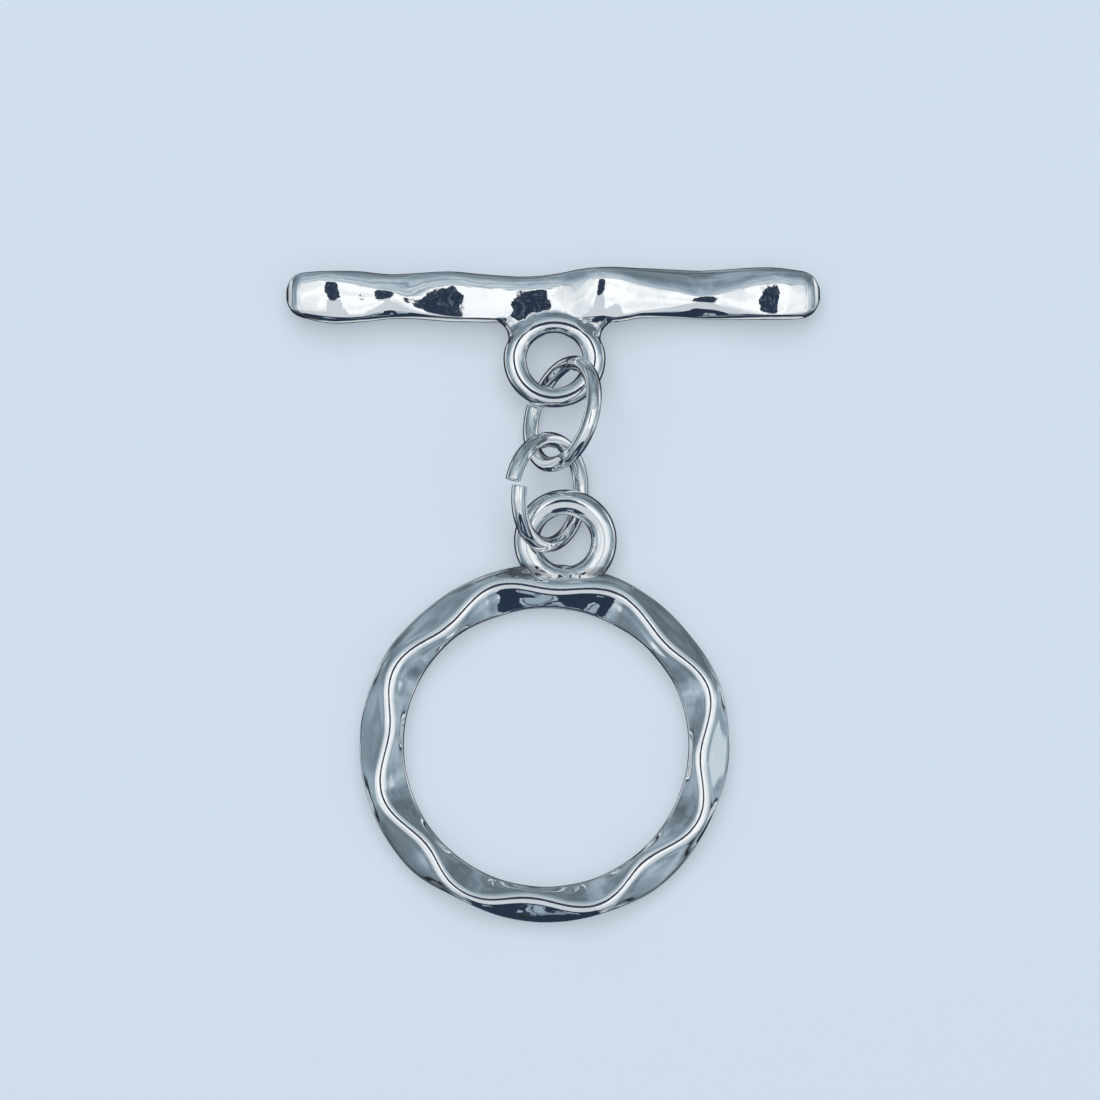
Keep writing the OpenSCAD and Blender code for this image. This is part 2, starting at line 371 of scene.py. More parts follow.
wirePlating = brightMetal("wirePlating", {
    "dark": (0.90, 0.915, 0.925), "light": (0.96, 0.97, 0.975), "tintSize": 1.2,
    "roughness": (0.01, 0.04), "hazeSize": 0.5,
    "rippleSize": 0.5, "rippleDepth": 0.010,
})
print("metals mixed")

# Crossbar
crossbar = {
    "middle": (0, 19.4547),
    "slope": 0.43,
    "length": 34.795,
    "width": 3.596,
    # the ends are rounded as seen from above and, more tightly, from the side
    "endRound": 1.5,
    "endDrop": 1.1,
    "endCurve": 2.4,
    # keeps the very ends blunt: what the round is at least, before its root is taken
    "endBlunt": 0.02,
    "sections": 120,
    "sides": 17,
    "endSections": 9,
    "skinLevels": 2,
    "marks": (1.3, 0.024),
    # points of every section, across and up as shares of half its width and height; the
    # flanks' upper points stay below the rim by the rim's drop
    "northRim": 0.95, "southRim": 0.98, "rimDrop": 0.12,
    "northFlank": [(1.015, -0.20), (1.0, 0.36)],
    "southFlank": [(-1.02, 0.45), (-1.03, -0.15)],
    "underside": [(-0.86, -0.92), (-0.30, -1.0), (0.30, -1.0), (0.86, -0.92)],
    "acrossTop": (0, 0.12, 0.5, 0.88, 1),
    # where each side's upper slope ends on the way to its rim, and how steep it is there as a
    # share of the whole fall
    "northSlope": (0.72, 0.62), "southSlope": (0.5, 0.65),
    # place along half the length; middle and width as shares of the width; height of the
    # underside; how far the top reaches north and south; how far north it is level, and the
    # radius of its round across the bar; how steeply it falls beyond to the north and south
    "outline": [
        (-1.000, 0.035, 0.800, 0.06, 0.50, 0.72, 0.10, 3.5, 0.38, 0.40),
        (-0.944, 0.035, 0.805, 0.06, 0.58, 0.78, 0.20, 5.0, 0.38, 0.40),
        (-0.832, -0.007, 0.926, 0.00, 0.62, 0.72, 0.48, 5.4, 0.38, 0.48),
        (-0.720, 0.002, 0.897, 0.00, 0.46, 0.78, 0.15, 5.0, 0.38, 0.38),
        (-0.608, 0.003, 0.786, 0.10, 0.18, 0.20, 0.04, 2.7, 0.27, 0.38),
        (-0.534, 0.005, 0.802, 0.10, 0.32, 0.66, -0.42, 4.0, 0.36, 0.40),
        (-0.385, -0.006, 0.889, 0.00, 0.48, 0.90, -0.20, 20.0, 0.36, 0.25),
        (-0.254, -0.039, 0.850, 0.03, 0.48, 0.90, -0.30, 18.0, 0.38, 0.25),
        (-0.105, -0.065, 0.827, 0.06, 0.48, 0.90, -0.33, 18.0, 0.40, 0.25),
        (-0.012, -0.052, 0.860, 0.06, 0.52, 0.90, -0.20, 11.0, 0.40, 0.25),
        (0.100, -0.010, 0.951, 0.03, 0.56, 0.88, 0.34, 7.0, 0.42, 0.30),
        (0.193, -0.005, 1.000, 0.00, 0.60, 0.82, 0.66, 5.5, 0.46, 0.44),
        (0.267, 0.015, 0.952, 0.00, 0.50, 0.84, 0.46, 7.0, 0.48, 0.34),
        (0.323, 0.035, 0.889, 0.03, 0.32, 0.80, 0.20, 7.0, 0.50, 0.36),
        (0.472, 0.022, 0.872, 0.10, 0.04, 0.56, -0.26, 3.2, 0.50, 0.48),
        (0.547, 0.006, 0.879, 0.10, -0.10, 0.42, -0.38, 2.1, 0.50, 0.55),
        (0.659, 0.007, 0.906, 0.03, 0.12, 0.62, -0.30, 4.0, 0.50, 0.46),
        (0.808, 0.010, 0.937, 0.00, 0.42, 0.88, -0.26, 20.0, 0.50, 0.30),
        (0.901, -0.010, 0.883, 0.00, 0.46, 0.82, -0.10, 9.0, 0.46, 0.34),
        (1.000, -0.020, 0.800, 0.06, 0.50, 0.72, 0.00, 3.5, 0.45, 0.40),
    ],
    # the hammered top along the bar, at its crests, its hollows and where it turns between
    # them: place and height
    "ridge": [
        (-17.45, 2.85), (-16.0, 3.07), (-14.4, 3.20), (-12.5, 3.00), (-10.7, 2.85), (-9.6, 2.92),
        (-7.7, 2.96), (-5.8, 2.91), (-3.6, 2.61), (-2.5, 2.50), (-1.3, 2.48), (0.2, 2.54),
        (1.2, 2.77), (2.2, 3.08), (3.1, 3.20), (4.2, 3.10), (6.3, 2.77), (8.2, 2.50),
        (9.8, 2.41), (11.0, 2.49), (12.5, 2.76), (14.2, 2.91), (15.5, 2.83), (17.45, 2.50),
    ],
    # the eye's wire is thinnest at its south, and its north half is a little flattened
    "eye": {"center": (0.08, 15.2295, 2.18), "radius": 2.58, "wire": 1.5,
            "thinnest": 0.86, "northShare": 0.9, "lean": 9, "square": 2.6},
    # solder fills the corners beside the eye: place, size and turn
    "solder": [((-2.75, 17.25, 1.8), (2.0, 0.9, 1.2), -60), ((-2.25, 17.60, 1.8), (1.3, 1.2, 1.5), 0),
               ((2.95, 17.30, 1.8), (2.0, 0.9, 1.2), 60), ((2.45, 17.60, 1.8), (1.3, 1.2, 1.5), 0)],
    # how far round each blob the skin is drawn together, and how often; the same for the seam
    "solderReach": 1.4, "solderRounds": 40,
    "seam": {"reach": 4.2, "spread": 3, "rounds": 14},
}


def smoothValues(rows, x):
    # a smooth curve through the rows at the place x, one value for each further column
    i = max(n for n in range(len(rows) - 1) if rows[n][0] <= x or n == 0)
    before, here, after, beyond = rows[max(0, i - 1)], rows[i], rows[i + 1], rows[min(len(rows) - 1, i + 2)]
    gap = after[0] - here[0]
    t = (x - here[0]) / gap
    values = []
    for col in range(1, len(here)):
        slantHere = (after[col] - before[col]) / (after[0] - before[0])
        slantAfter = (beyond[col] - here[col]) / (beyond[0] - here[0])
        values.append(here[col] * (1 + 2 * t) * (1 - t) ** 2 + after[col] * t * t * (3 - 2 * t)
                      + gap * t * (1 - t) * (slantHere * (1 - t) - slantAfter * t))
    return values


def barSection(place):
    # points round the bar, from its north side over the top to the south and back below
    half = crossbar["length"] / 2
    values = smoothValues(crossbar["outline"], max(-1, min(1, place / half)))
    middle, width, under, north, south, level, roundness, fallNorth, fallSouth = values
    top = smoothValues(crossbar["ridge"], place)[0]
    depth = max(0.0, half - abs(place))

    def ending(reach):
        near = min(1.0, depth / reach)
        left = 1 - (1 - near) ** crossbar["endCurve"]
        return max(crossbar["endBlunt"], left) ** (1 / crossbar["endCurve"])

    middle *= crossbar["width"]
    halfWidth = width * crossbar["width"] / 2 * ending(crossbar["endRound"])
    center, halfHeight = (top + max(0, under)) / 2, (top - max(0, under)) / 2

    def onTop(across):
        drop = (across * halfWidth - level) ** 2 / (2 * roundness)
        return across, 1 - drop / halfHeight

    def beyond(edge, across, fall):
        return across, onTop(edge)[1] - fall * abs(across - edge) * halfWidth / halfHeight

    def flank(point, rim):
        return point[0], min(point[1], rim[1] - crossbar["rimDrop"])

    # the sides fall gently at first, then more steeply down to the rim
    (northAt, northGentle), (southAt, southGentle) = crossbar["northSlope"], crossbar["southSlope"]
    northRim = beyond(north, crossbar["northRim"], fallNorth)
    southRim = beyond(-south, -crossbar["southRim"], fallSouth)
    northSlope = beyond(north, north + northAt * (crossbar["northRim"] - north), northGentle * fallNorth)
    southSlope = beyond(-south, (-south - crossbar["southRim"]) * southAt, southGentle * fallSouth)
    northLow, northHigh = crossbar["northFlank"]
    southHigh, southLow = crossbar["southFlank"]
    shape = [northLow, flank(northHigh, northRim), northRim, northSlope]
    shape += [onTop(north - share * (north + south)) for share in crossbar["acrossTop"]]
    shape += [southSlope, southRim, flank(southHigh, southRim), southLow, *crossbar["underside"]]
    drop = ending(crossbar["endDrop"])
    return [(place, middle + u * halfWidth, center + v * halfHeight * drop) for u, v in shape]


def makeCrossbar():
    half, count, sides = crossbar["length"] / 2, crossbar["sections"], crossbar["sides"]
    freshStart()
    bpy.ops.mesh.primitive_cylinder_add(vertices=sides, radius=1.5 * mm, depth=2 * half * mm,
                                        end_fill_type="NGON", rotation=(0, radians(90), 0))
    bpy.ops.object.transform_apply(rotation=True)
    bar = beginShaping("crossbar")
    bpy.ops.mesh.select_all(action="DESELECT")
    bpy.ops.mesh.select_mode(type="EDGE")
    cage = bmesh.from_edit_mesh(bar.data)
    for edge in cage.edges:
        if abs(edge.verts[0].co.x - edge.verts[1].co.x) > half * mm:
            edge.select_set(True)
    bpy.ops.mesh.subdivide(number_cuts=count - 1)
    bpy.ops.mesh.select_mode(type="VERT")

    # the sections stand closer together in the rounded ends
    cage = bmesh.from_edit_mesh(bar.data)
    turns = [degrees(atan2(vert.co.z, vert.co.y)) % 360 for vert in cage.verts]
    first = min(turn % (360 / sides) for turn in turns)
    spots = []
    for vert, turn in zip(cage.verts, turns):
        column = round((vert.co.x / mm + half) * count / (2 * half))
        spots.append((vert.index, column, round((turn - first) * sides / 360) % sides))
    endCount, endRound = crossbar["endSections"], crossbar["endRound"]
    places = []
    for column in range(count + 1):
        fromEnd = min(column, count - column)
        if fromEnd <= endCount:
            depth = endRound * (1 - cos(radians(90 * fromEnd / endCount)))
        else:
            depth = endRound + (half - endRound) * (fromEnd - endCount) / (count / 2 - endCount)
        places.append((depth - half) if column <= count / 2 else (half - depth))
    sections = [barSection(place) for place in places]
    for number, column, spot in spots:
        pullPoint(bar, number, sections[column][spot])
    smoothSkin(bar, crossbar["skinLevels"])
    hammerMarks(bar, *crossbar["marks"])
    flattenBack(bar)
    layPiece(bar, (*crossbar["middle"], 0), [("Z", crossbar["slope"])])
    return bar


def eyePoint(eye, turn, way):
    # the wire is a little square, and leans into the hole at both sides of the eye
    east, north = cos(radians(turn)), sin(radians(turn))
    lean = radians(eye["lean"]) * east ** 2
    size = eye["wire"] / 2 * (1 + (eye["thinnest"] - 1) * max(0, -north) ** 2)
    out, up = cos(way), sin(way)
    reach = size / (abs(out) ** eye["square"] + abs(up) ** eye["square"]) ** (1 / eye["square"])
    out, up = reach * (out * cos(lean) - up * sin(lean)), reach * (up * cos(lean) + out * sin(lean))
    radius = eye["radius"] + out
    return radius * east, radius * north * (eye["northShare"] if north > 0 else 1), up


def makeEye(name, eye, turns=()):
    freshStart()
    bpy.ops.mesh.primitive_torus_add(major_radius=eye["radius"] * mm, minor_radius=eye["wire"] / 2 * mm,
                                     major_segments=shaping["eyeSteps"][0],
                                     minor_segments=shaping["eyeSteps"][1])
    loop = beginShaping(name)
    spots = []
    for vert in bmesh.from_edit_mesh(loop.data).verts:
        east, north, up = vert.co / mm
        way = atan2(up, (east ** 2 + north ** 2) ** 0.5 - eye["radius"])
        spots.append((vert.index, eyePoint(eye, degrees(atan2(north, east)), way)))
    for number, target in spots:
        pullPoint(loop, number, target)
    smoothSkin(loop, shaping["eyeSkin"])
    layPiece(loop, eye["center"], turns)
    return loop


bar = makeCrossbar()
solderOn(bar, makeEye("barEye", crossbar["eye"]))
for place, size, turn in crossbar["solder"]:
    solderOn(bar, solderBlob("barSolder", place, size, turn))
softenSeam(bar, crossbar["eye"]["center"], **crossbar["seam"])
for place, size, turn in crossbar["solder"]:
    flowSolder(bar, place, crossbar["solderReach"], crossbar["solderRounds"])
finishPiece(bar, "toggle_bar", barPlating)

# Toggle ring
toggleRing = {
    "center": (-0.463, -9.7755),
    "outerRadius": 12.0,
    "openingRadius": 9.2,
    "crestHeight": 2.4,
    # the crest's bead: its width, how much of a narrow slope it may take, how far it stands above
    # the slopes, its middle's rise, and a point on each side as a share of its half and a drop
    "bead": 1.08, "beadRoom": 0.8, "shoulderDrop": 0.20, "ridge": 0.04,
    "beadInner": (0.66, 0.04), "beadOuter": (0.72, 0.05),
    "backBevel": 0.15,
    "sections": 96,
    "skinLevels": 2,
    "marks": (2.4, 0.05),
    # points up each slope from its edge to the crest: place and height as shares, and the
    # further height that the outer slope has on the shelf below the eye
    "scoop": [(0.33, 0.38, 0.24), (0.68, 0.76, 0.12)],
    "shelfReach": 13,
    # loops of points that stay crisp, and how much: the back's two edges, the opening and the rim
    "creases": [(0, 0.8), (14, 0.8), (2, 0.5), (12, 0.5)],
    # turn in degrees, crest's place across the band, rim and opening as shares of their
    # radius, height of the rim and height of the opening's edge
    "waves": [
        (19.0, 0.712, 0.990, 1.000, 1.85, 1.35), (41.0, 0.368, 0.975, 0.986, 1.35, 1.85),
        (64.0, 0.663, 0.975, 0.968, 1.85, 1.35), (87.0, 0.386, 0.975, 0.964, 1.60, 1.70),
        (108.0, 0.677, 0.971, 0.964, 1.80, 1.35), (130.0, 0.305, 0.975, 0.989, 1.30, 1.90),
        (154.0, 0.660, 0.994, 1.000, 1.80, 1.30), (174.5, 0.314, 1.007, 1.003, 1.35, 1.80),
        (198.0, 0.670, 1.004, 1.003, 1.80, 1.30), (220.0, 0.312, 0.997, 1.003, 1.30, 1.80),
        (241.5, 0.800, 0.955, 1.003, 2.00, 1.30), (264.5, 0.344, 0.959, 1.000, 1.35, 1.80),
        (288.0, 0.750, 0.960, 1.000, 1.95, 1.30), (309.5, 0.261, 0.980, 1.000, 1.30, 1.90),
        (333.5, 0.735, 0.975, 1.000, 1.85, 1.30), (355.5, 0.286, 0.988, 1.003, 1.60, 1.85),
    ],
    # crisp radial creases between two scoops, in degrees; how far they rise, and fade within; the
    # share of the rise at the rim or the opening; and the loops of points from there to the crest
    "arrises": {"outer": (18.75, 153.75, 243.75, 288.75), "inner": (41.25, 131.25),
                "rise": 0.24, "fade": 5.5, "edgeShare": 0.5, "tolerance": 0.1,
                "outerLoops": (9, 12), "innerLoops": (2, 5)},
    # the eye rises away from the ring by some degrees, at its turn round the ring
    "eye": {"center": (0.782, 3.3958, 1.7441), "radius": 2.51, "wire": 1.68, "rise": 10, "turn": 84.6,
            "thinnest": 1.0, "northShare": 1.0, "lean": 7, "square": 2.4},
    # lumps of solder beside the eye: place, size and turn
    "solder": [((-1.75, 1.35, 1.80), (1.5, 0.8, 0.6), 12), ((-0.75, 1.62, 1.85), (1.0, 0.6, 0.6), -20),
               ((2.55, 1.45, 1.80), (1.3, 0.7, 0.6), -16)],
    "seam": {"reach": 4.2, "spread": 1, "rounds": 3},
}


def ringValues(turn):
    rows = toggleRing["waves"]
    turn = (turn - rows[0][0]) % 360 + rows[0][0]
    i = max(n for n in range(len(rows)) if rows[n][0] <= turn + 1e-6)
    here, after = rows[i], rows[(i + 1) % len(rows)]
    gap = (after[0] - here[0]) % 360
    t = (1 - cos(pi * (turn - here[0]) / gap)) / 2
    return [here[col] + (after[col] - here[col]) * t for col in range(1, len(here))]


def ringSection(turn):
    # fifteen points (radius, height) from under the opening's edge over the crest to under the rim
    crest, rim, opening, rimHeight, openingHeight = ringValues(turn)
    rim, opening = rim * toggleRing["outerRadius"], opening * toggleRing["openingRadius"]
    crest = opening + (rim - opening) * crest
    top, bevel = toggleRing["crestHeight"], toggleRing["backBevel"]
    shelf = exp(-((turn - toggleRing["eye"]["turn"]) / toggleRing["shelfReach"]) ** 2)
    inner = min(toggleRing["bead"] / 2, toggleRing["beadRoom"] * (crest - opening))
    outer = min(toggleRing["bead"] / 2, toggleRing["beadRoom"] * (rim - crest))
    shoulder = top - toggleRing["shoulderDrop"]
    innerArris, outerArris = arrisAt(turn, "inner"), arrisAt(turn, "outer")
    atEdge = toggleRing["arrises"]["edgeShare"]
    section = [(opening + bevel, 0), (opening, bevel), (opening, openingHeight + atEdge * innerArris)]
    for share, lift, shelfLift in toggleRing["scoop"]:
        section.append((opening + (crest - inner - opening) * share,
                        openingHeight + (shoulder - openingHeight) * lift + innerArris * (1 - share)))
    (innerShare, innerDrop), (outerShare, outerDrop) = toggleRing["beadInner"], toggleRing["beadOuter"]
    section += [(crest - inner, shoulder), (crest - innerShare * inner, top - innerDrop),
                (crest, top + toggleRing["ridge"]),
                (crest + outerShare * outer, top - outerDrop), (crest + outer, shoulder)]
    for share, lift, shelfLift in reversed(toggleRing["scoop"]):
        lift += shelfLift * shelf
        section.append((rim + (crest + outer - rim) * share,
                        rimHeight + (shoulder - rimHeight) * lift + outerArris * (1 - share)))
    return section + [(rim, rimHeight + atEdge * outerArris), (rim, bevel), (rim - bevel, 0)]


def arrisAt(turn, side):
    # how far the crease between two scoops lifts the slope here
    arrises = toggleRing["arrises"]
    away = min(abs((turn - place + 180) % 360 - 180) for place in arrises[side])
    return arrises["rise"] * max(0, 1 - away / arrises["fade"])


def makeToggleRing():
    count = toggleRing["sections"]
    # any section does to start from, as every point is pulled to its own place afterwards
    first = ringSection(30)
    freshStart()
    bpy.ops.mesh.primitive_circle_add(vertices=count, radius=first[0][0] * mm)
    ring = beginShaping("toggleRing")
    for before, point in zip(first, first[1:]):
        rise = (point[1] - before[1]) * mm
        bpy.ops.mesh.extrude_region_move(TRANSFORM_OT_translate={"value": (0, 0, rise)})
        grow = point[0] / before[0]
        bpy.ops.transform.resize(value=(grow, grow, 1), center_override=(0, 0, 0))
    ends = {0, len(first) - 1}
    # the points stand loop by loop, in the order in which they were extruded
    selectPoints(ring, [loop * count + i for loop in ends for i in range(count)])
    bpy.ops.mesh.bridge_edge_loops()
    bpy.ops.mesh.select_all(action="SELECT")
    bpy.ops.mesh.normals_make_consistent(inside=False)

    cage = bmesh.from_edit_mesh(ring.data)
    spots = [(vert.index, vert.index // count, degrees(atan2(vert.co.y, vert.co.x)) % 360)
             for vert in cage.verts]
    for number, loop, turn in spots:
        radius, height = ringSection(turn)[loop]
        pullPoint(ring, number, (radius * cos(radians(turn)), radius * sin(radians(turn)), height))
    loopOf = {number: loop for number, loop, turn in spots}
    turnOf = {number: turn for number, loop, turn in spots}
    for loop, amount in toggleRing["creases"]:
        bpy.ops.mesh.select_mode(type="EDGE")
        bpy.ops.mesh.select_all(action="DESELECT")
        cage = bmesh.from_edit_mesh(ring.data)
        for edge in cage.edges:
            if loopOf[edge.verts[0].index] == loop and loopOf[edge.verts[1].index] == loop:
                edge.select_set(True)
        bpy.ops.transform.edge_crease(value=amount)
    # the arrises stay crisp from the rim or the opening up to the crest's shoulder
    arrises = toggleRing["arrises"]
    for side in ("inner", "outer"):
        creaseTurns, (low, high) = arrises[side], arrises[side + "Loops"]
        bpy.ops.mesh.select_all(action="DESELECT")
        cage = bmesh.from_edit_mesh(ring.data)
        for edge in cage.edges:
            ends = [vert.index for vert in edge.verts]
            away = max(min(abs(turnOf[n] - place) for place in creaseTurns) for n in ends)
            onArris = away < arrises["tolerance"]
            if onArris and all(low <= loopOf[n] <= high for n in ends):
                edge.select_set(True)
        bpy.ops.transform.edge_crease(value=1.0)
    smoothSkin(ring, toggleRing["skinLevels"])
    hammerMarks(ring, *toggleRing["marks"])
    flattenBack(ring)
    layPiece(ring, (*toggleRing["center"], 0))
    return ring


ring = makeToggleRing()
solderOn(ring, makeEye("ringEye", toggleRing["eye"], [("X", toggleRing["eye"]["rise"])]))
for place, size, turn in toggleRing["solder"]:
    solderOn(ring, solderBlob("ringSolder", place, size, turn))
softenSeam(ring, toggleRing["eye"]["center"], **toggleRing["seam"])
finishPiece(ring, "toggle_ring", ringPlating)

# Jump rings
jumpRings = {
    "radius": 3.4,
    "wire": 1.0,
    "sideSteps": 56,
    # the drawn wire has slight flats along it
    "flats": 7,
    "flatDepth": 0.012,
    "steps": 132,
    "endBevel": 0.06, "endBevelSteps": 3,
    # where the wire is cut, in degrees round the ring; the gap and the sideways step of its ends
    "upper": {"center": (0.5916, 11.4994, 3.345), "lean": 56, "turn": 166.6,
              "cut": -6.5, "gap": 0.12, "offset": 0.14},
    "lower": {"center": (-0.3236, 6.4074, 3.2274), "lean": 52.5, "turn": -9.4,
              "cut": 180, "gap": 0.33, "offset": 0.62},
}


def makeJumpRing(name, place):
    # the wire's cut end is spun round the ring, stopping short of itself by the gap
    radius, wire = jumpRings["radius"], jumpRings["wire"]
    half = degrees(place["gap"] / 2 / radius)
    freshStart()
    bpy.ops.mesh.primitive_circle_add(vertices=jumpRings["sideSteps"], radius=wire / 2 * mm, fill_type="NGON",
                                      rotation=(radians(90), 0, 0))
    bpy.ops.object.transform_apply(rotation=True)
    wireRing = beginShaping(name)
    spots = [(vert.index, vert.co / mm) for vert in bmesh.from_edit_mesh(wireRing.data).verts]
    for number, spot in spots:
        turn = atan2(spot.z, spot.x)
        flat = jumpRings["flatDepth"] * (1 + cos(jumpRings["flats"] * turn))
        pullPoint(wireRing, number, spot * (1 - flat))
    bpy.ops.mesh.select_all(action="SELECT")
    bpy.ops.transform.translate(value=(-radius * mm, 0, 0))
    bpy.ops.transform.rotate(value=radians(half), orient_axis="Z", center_override=(0, 0, 0))
    bpy.ops.mesh.spin(steps=jumpRings["steps"], angle=radians(360 - 2 * half), center=(0, 0, 0),
                      axis=(0, 0, 1), dupli=False)
    bpy.ops.mesh.select_all(action="SELECT")
    bpy.ops.mesh.normals_make_consistent(inside=False)

    # the cut ends lose their sharp edge and are sprung past each other
    bpy.ops.mesh.select_mode(type="FACE")
    bpy.ops.mesh.select_all(action="DESELECT")
    for face in bmesh.from_edit_mesh(wireRing.data).faces:
        face.select_set(len(face.verts) > 4)
    bpy.ops.mesh.bevel(offset=jumpRings["endBevel"] * mm, segments=jumpRings["endBevelSteps"],
                       affect="EDGES")
    bpy.ops.mesh.select_mode(type="VERT")
    # each half turns about the ring's far side until its end has moved by half the offset
    push = place["offset"] / 2 / (2 * radius)
    for side in (1, -1):
        selectPoints(wireRing, pointsWhere(wireRing, lambda co: co.y * side > 0.01))
        bpy.ops.transform.rotate(value=side * push, orient_axis="Y", center_override=(radius * mm, 0, 0))
    bpy.ops.object.mode_set(mode="OBJECT")
    layPiece(wireRing, (0, 0, 0), [("Z", place["cut"] - 180)])
    layPiece(wireRing, place["center"], [("Z", place["turn"]), ("Y", place["lean"])])
    return wireRing


for name, key, node in (("upperJumpRing", "upper", "upper_jump_ring"),
                        ("lowerJumpRing", "lower", "lower_jump_ring")):
    wireRing = makeJumpRing(name, jumpRings[key])
    finishPiece(wireRing, node, wirePlating)

# Floor
floorLook = {
    "size": 1200,
    "below": 0.02,     # so far under the pieces' flat backs
    "roughness": 0.9,
    "shine": 0.1,
    "color": (0.48, 0.53, 0.587),
    # the pale board is given a faint painted glow of its own, so that its shadows stay faint
    "glow": (0.266, 0.298, 0.329),
}


def addFloor():
    freshStart()
    bpy.ops.mesh.primitive_plane_add(size=floorLook["size"] * mm, location=(0, 0, -floorLook["below"] * mm))
    floor = bpy.context.object
    floor.name = "floor"
    paper = bpy.data.materials.new("paleBoard")
    paper.use_nodes = True
    shader = paper.node_tree.nodes["Principled BSDF"]
    shader.inputs["Base Color"].default_value = (*floorLook["color"], 1)
    # painted glow: the floor gives off light of its own, which lifts its shadows
    shader.inputs["Emission Color"].default_value = (*floorLook["glow"], 1)
    shader.inputs["Emission Strength"].default_value = 1.0
    shader.inputs["Roughness"].default_value = floorLook["roughness"]
    shader.inputs["Specular IOR Level"].default_value = floorLook["shine"]
    floor.data.materials.append(paper)
    floor.visible_glossy = False    # the metal mirrors the room's lower half instead


addFloor()

# Light
# Its numbers were fitted to what the metal mirrors in this one picture, so it is no general studio light.
room = {
    # height of the direction (-1 straight down, 0 at the horizon, 1 overhead) and the room's
    # brightness there, on the bright sides and on the north side
    "bright": [(-1.0, 0.03), (-0.62, 0.04), (-0.48, 0.20), (-0.36, 0.42), (-0.18, 0.34), (-0.08, 0.20),
               (-0.02, 0.04), (0.05, 0.05), (0.09, 0.34), (0.20, 0.37), (0.45, 0.40), (0.58, 0.52),
               (0.67, 0.66), (0.70, 0.46), (0.73, 0.98), (0.80, 0.80), (0.90, 0.90), (0.96, 1.0)],
    "north": [(-1.0, 0.03), (-0.62, 0.04), (-0.48, 0.18), (-0.36, 0.36), (-0.20, 0.26), (-0.05, 0.12),
              (0.03, 0.14), (0.10, 0.24), (0.30, 0.24), (0.50, 0.26), (0.66, 0.31), (0.74, 0.46),
              (0.81, 0.60), (0.835, 0.38), (0.86, 0.66), (0.90, 0.64), (0.92, 0.46), (0.935, 0.70),
              (0.948, 0.70), (0.956, 0.30), (0.964, 0.72), (1.0, 0.74)],
    # compass direction in degrees from east, and how bright the walls and furniture are there
    "round": [(-180, 0.85), (-168, 0.85), (-160, 1.10), (-152, 0.85), (-146, 0.80), (-141, 0.50),
              (-130, 0.42), (-122, 0.80), (-118, 1.0), (-70, 1.25), (-60, 0.85), (-52, 1.10),
              (-44, 0.80), (-36, 0.60), (-28, 0.75), (-15, 1.05), (0, 1.05), (12, 1.05), (27, 1.10),
              (35, 0.90), (43, 0.85), (51, 1.05), (66, 0.95), (90, 1.05), (108, 1.25), (116, 1.45),
              (132, 1.30), (145, 1.15), (155, 0.85), (180, 0.85)],
    # the light panel overhead ends north of the camera, and the north side begins below it
    "panelEnd": {"north": (0.215, 0.255), "height": (0.82, 0.92), "northSide": (0.0, 0.3)},
    "wallsEnd": (0.50, 0.78),
    # soft blotches: scale, detail and sometimes roughness
    "blotches": {"walls": (2.6, 3), "panel": (5, 1.5), "camera": (16, 4, 0.65),
                 "screen": (3.6, 0.5), "specks": (42, 3)},
    # noise values between which a blotch passes from dim to bright, and how bright those are
    "wallBlotches": (0.36, 0.64, 0.72, 1.35),
    "panelBlotches": (0.36, 0.52, 0.86, 1.0),
    "cameraSpecks": (0.52, 0.74),
    # the table's pale surface goes on to the east and west: how far aside, and its far and near ends
    "table": {"glow": (0.58, 0.58, 0.58), "aside": (0.0, 0.25), "far": (-0.04, -0.10),
              "near": (-0.68, -0.54)},
    "doorway": {"glow": (0.52, 0.60, 0.66), "side": (0.22, 0.14), "foot": (0.44, 0.52),
                "east": (0.4, 0.5), "head": (0.76, 0.70)},
    # the camera overhead: half its size, its edge, and how far noise moves its outline; the
    # shifts take back the noise's mean and set the shape a little to the north
    "camera": {"halfWidth": 0.125, "halfLength": 0.18, "squareness": 3.0, "edge": (1.12, 0.88),
               "raggedWidth": 0.10, "shiftAcross": -0.05, "raggedLength": 0.16, "shiftAlong": -0.12},
    # pale cards behind the camera: half width, from and to
    "cards": [(0.11, -0.12, -0.40), (0.50, -0.37, -0.68)],
    "cardGlow": (0.57, 0.615, 0.645),
    "cardEdge": (0.02, 0.01),
    # the dark screen to the south: how far west its middle is, its edges, how far they wander
    "screen": {"west": 0.06, "edge": (0.43, 0.40), "south": (-0.68, -0.72), "foot": (-0.44, -0.40),
               "wanderAside": 0.30, "wanderUp": 0.40},
    # light gaps in it: place aside and height, both from and to; and how soft they are
    "lightGaps": [(-0.24, -0.12, 0.08, 0.55), (-0.10, -0.065, -0.05, 0.55), (-0.02, 0.03, 0.00, 0.16)],
    "gapEdge": 0.01,
    # the table's near edge is dark too
    "nearEdge": {"south": (-0.25, -0.45), "below": (-0.36, -0.42)},
    "strength": 1.13,
    # what is dim is bluer, and bluer still above the horizon
    "floorTint": (0.74, 0.88, 1.0),
    "lowTint": (0.66, 0.85, 1.0),
    "highTint": (0.965, 0.99, 1.0),
    "horizon": (-0.12, 0.12),
    "whitening": (0.32, 0.92),
    "darkest": (0.020, 0.034, 0.060),
    "lessDark": (0.130, 0.150, 0.190),
    "lamp": {"size": 600, "place": (-40, 260, 660), "power": 2.0},
}


